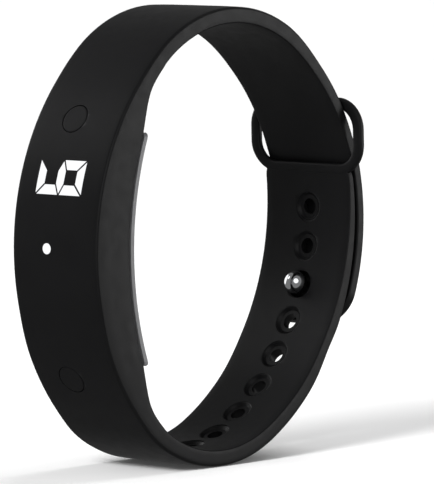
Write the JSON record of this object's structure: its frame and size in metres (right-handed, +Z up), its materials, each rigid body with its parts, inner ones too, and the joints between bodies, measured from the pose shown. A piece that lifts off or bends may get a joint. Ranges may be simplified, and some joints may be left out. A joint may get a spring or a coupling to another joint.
{
  "type": "fitness tracker band",
  "caption": "Closed silicone fitness band: electronics capsule behind a curved display, two round keys, a strap with a row of holes, a ball stud and a keeper loop.",
  "frame": {"origin": "middle of the wrist opening, on the mid-plane of the band", "axes": "+X runs along the wrist, -Y is the way the display faces, the closure is at +Y, and +Z is up as the closed band stands"},
  "size_m": [0.0224, 0.0599, 0.0677],
  "materials": {
    "silicone": "matte moulded silicone",
    "housing": "fine matte",
    "plate": "satin, finely textured",
    "chrome": "polished",
    "steel": "fine machined",
    "gold": "satin gold plating",
    "gasket": "matte",
    "lit": "milky light guide, lit",
    "unlit": "matte, dark",
    "mask": "matte",
    "board": "solder mask",
    "led": "clear encapsulant",
    "chip": "moulded package",
    "ceramic_part": "fired, matte",
    "link": "moulded connector",
    "foil": "satin foil pouch",
    "tape": "adhesive film"
  },
  "bodies": {
    "root": {"display_sleeve": "silicone", "upper_strap": "silicone", "lower_strap": "silicone", "keeper_ring": "silicone", "upper_switch": "steel", "lower_switch": "steel", "capsule_housing": "housing", "back_plate": "plate", "plate_screws": "steel", "plate_gasket": "gasket", "charge_contacts": "gold", "contact_springs": "gold", "digit_segments": "lit", "idle_segment": "unlit", "indicator_light": "lit", "light_mask": "mask", "display_board": "board", "display_leds": "led", "main_board": "board", "processor": "chip", "motion_sensor": "chip", "antenna": "ceramic_part", "board_link": "link", "battery": "foil", "battery_tape": "tape", "vibration_motor": "steel"},
    "tail": {"strap_tail": "silicone", "stud_pin": "chrome", "stud_nut": "steel"},
    "upper_key": {"upper_key": "silicone"},
    "lower_key": {"lower_key": "silicone"}
  },
  "joints": [
    {"name": "tail_peel", "type": "hinge", "parent": "root", "child": "tail", "pos_m": [0, 0.02638, 0.0088], "axis": [1, 0, 0], "range_deg": [0, 50], "stiffness_Nm_per_rad": 0.003},
    {"name": "upper_key_press", "type": "slide", "parent": "root", "child": "upper_key", "axis": [0, 0.8572, -0.515], "range_m": [0, 0.0003], "stiffness_N_per_m": 500},
    {"name": "lower_key_press", "type": "slide", "parent": "root", "child": "lower_key", "axis": [0, 0.8572, 0.515], "range_m": [0, 0.0003], "stiffness_N_per_m": 500}
  ]
}
